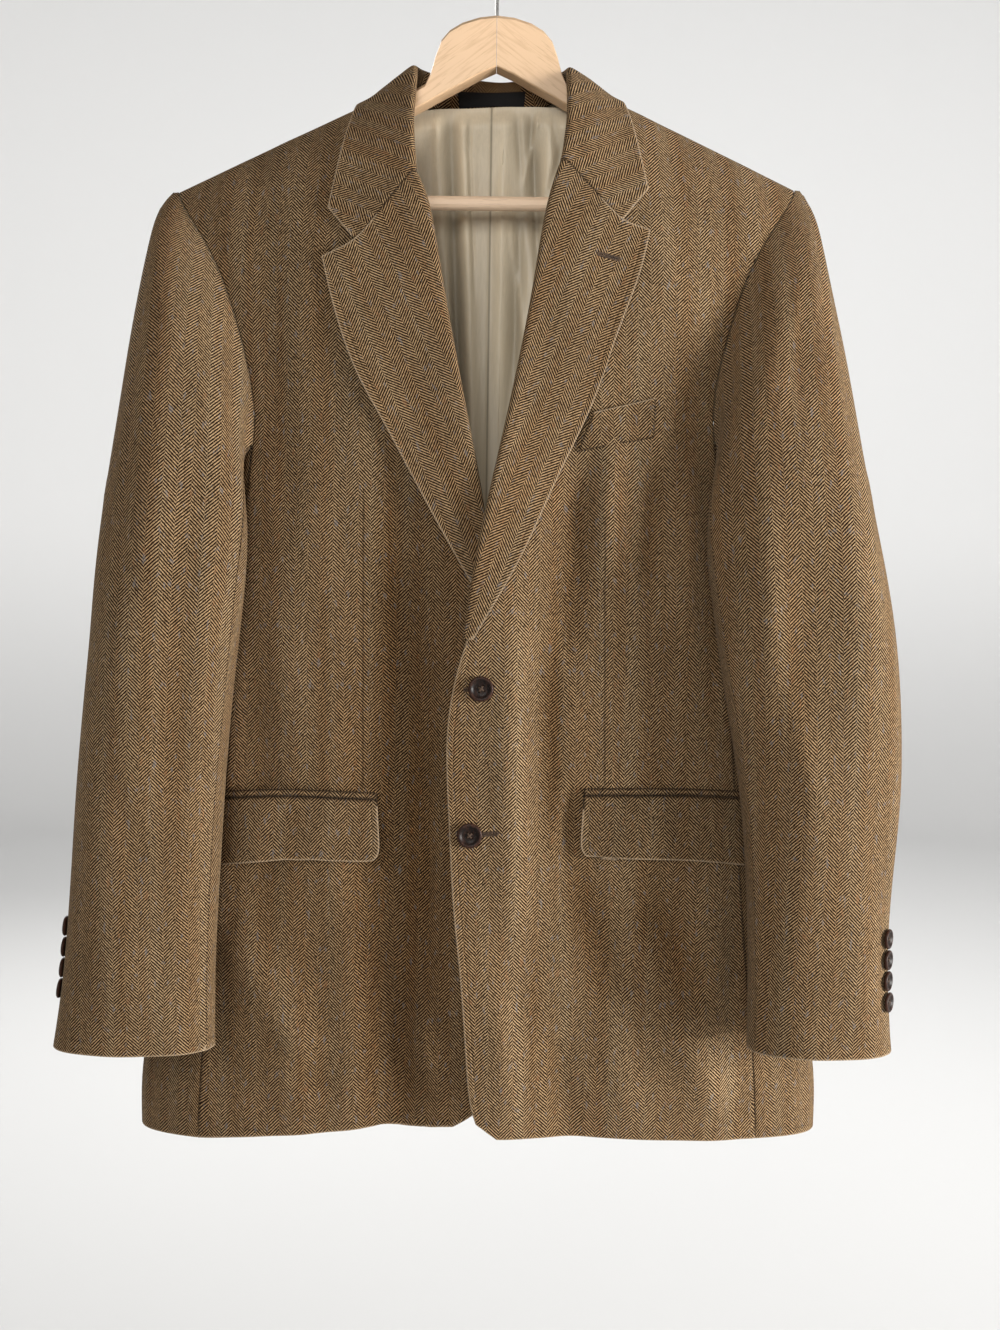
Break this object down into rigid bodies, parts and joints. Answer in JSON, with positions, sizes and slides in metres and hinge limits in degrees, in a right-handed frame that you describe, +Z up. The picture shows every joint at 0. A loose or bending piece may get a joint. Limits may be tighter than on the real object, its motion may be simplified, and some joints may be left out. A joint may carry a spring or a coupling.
{
  "type": "tweed jacket on a wooden hanger",
  "caption": "Single-breasted herringbone tweed jacket with notched lapels and flap pockets, hanging on a wooden hanger with a wire hook.",
  "frame": {"origin": "inside top of the hanger's hook, where it rests on a rail", "axes": "+X to the viewer's right as the front is seen, +Y away from the viewer (towards the jacket's back), +Z up"},
  "size_m": [0.6606, 0.1776, 0.9917],
  "materials": {
    "tweed": "brown and tan herringbone wool tweed, matt",
    "lining_satin": "greige satin lining, soft sheen",
    "label_black": "black woven label, bare",
    "horn": "brown-black horn with a reddish rim, polished",
    "pale_wood": "pale natural wood, clear lacquer",
    "steel_wire": "bright steel wire"
  },
  "bodies": {
    "root": {"front_left": "tweed", "side_left": "tweed", "back_left": "tweed", "lapel_left": "tweed", "sleeve_top_left": "tweed", "sleeve_under_left": "tweed", "pocket_flap_left": "tweed", "pocket_jet_left": "tweed", "hanger_arm_left": "pale_wood", "button_cuff_left_1": "horn", "button_cuff_left_2": "horn", "button_cuff_left_3": "horn", "button_cuff_left_4": "horn", "front_right": "tweed", "side_right": "tweed", "back_right": "tweed", "lapel_right": "tweed", "sleeve_top_right": "tweed", "sleeve_under_right": "tweed", "pocket_flap_right": "tweed", "pocket_jet_right": "tweed", "hanger_arm_right": "pale_wood", "button_cuff_right_1": "horn", "button_cuff_right_2": "horn", "button_cuff_right_3": "horn", "button_cuff_right_4": "horn", "collar": "tweed", "breast_welt": "tweed", "lining_back": "lining_satin", "label": "label_black", "button_front_1": "horn", "button_front_2": "horn", "hanger_bar": "pale_wood", "hanger_hook": "steel_wire"}
  },
  "joints": []
}
